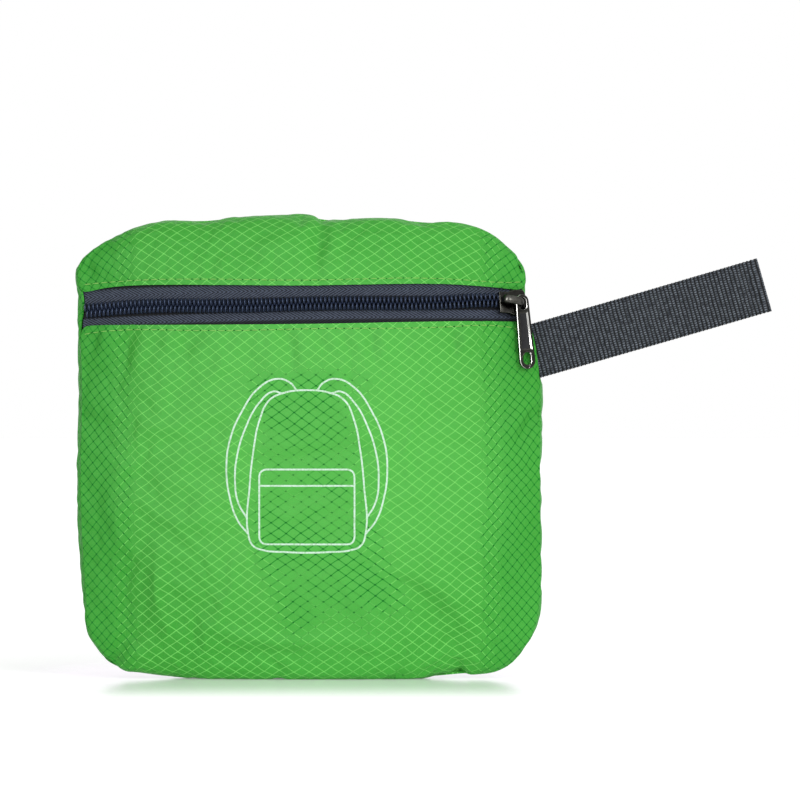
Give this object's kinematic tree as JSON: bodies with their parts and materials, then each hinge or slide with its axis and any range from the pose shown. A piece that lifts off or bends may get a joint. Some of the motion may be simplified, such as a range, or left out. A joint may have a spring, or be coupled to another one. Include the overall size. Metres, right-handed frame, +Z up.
{
  "type": "packable backpack folded into its zip pouch",
  "caption": "Packable daypack folded into its own stuffed ripstop pouch, with a coil zip, a hanging pull and a webbing carry loop.",
  "frame": {"origin": "middle of the flat base that the pouch stands on", "axes": "+Z up from the base, +X to the right seam where the webbing loop leaves, and the zip and print face -Y"},
  "size_m": [0.2605, 0.0562, 0.1737],
  "materials": {
    "cloth": "thin green nylon ripstop with a diamond grid",
    "tape": "navy woven zip tape",
    "coil": "dark navy nylon coil",
    "metal": "dark plated metal with bright worn edges",
    "webbing": "navy ribbed webbing"
  },
  "bodies": {
    "pouch": {"front_panel": "cloth", "top_panel": "cloth", "back_panel": "cloth", "packed_bag": "cloth", "zip_tape_upper": "tape", "zip_tape_lower": "tape", "zip_coil_upper": "coil", "zip_coil_lower": "coil", "zip_slider": "metal", "web_loop": "webbing"},
    "pull": {"zip_pull": "metal"}
  },
  "joints": [
    {"name": "pull_swing", "type": "hinge", "parent": "pouch", "child": "pull", "pos_m": [0.07956, -0.01207, 0.14127], "axis": [0.4268, -0.9003, 0.0856], "range_deg": [-55, 15]}
  ]
}
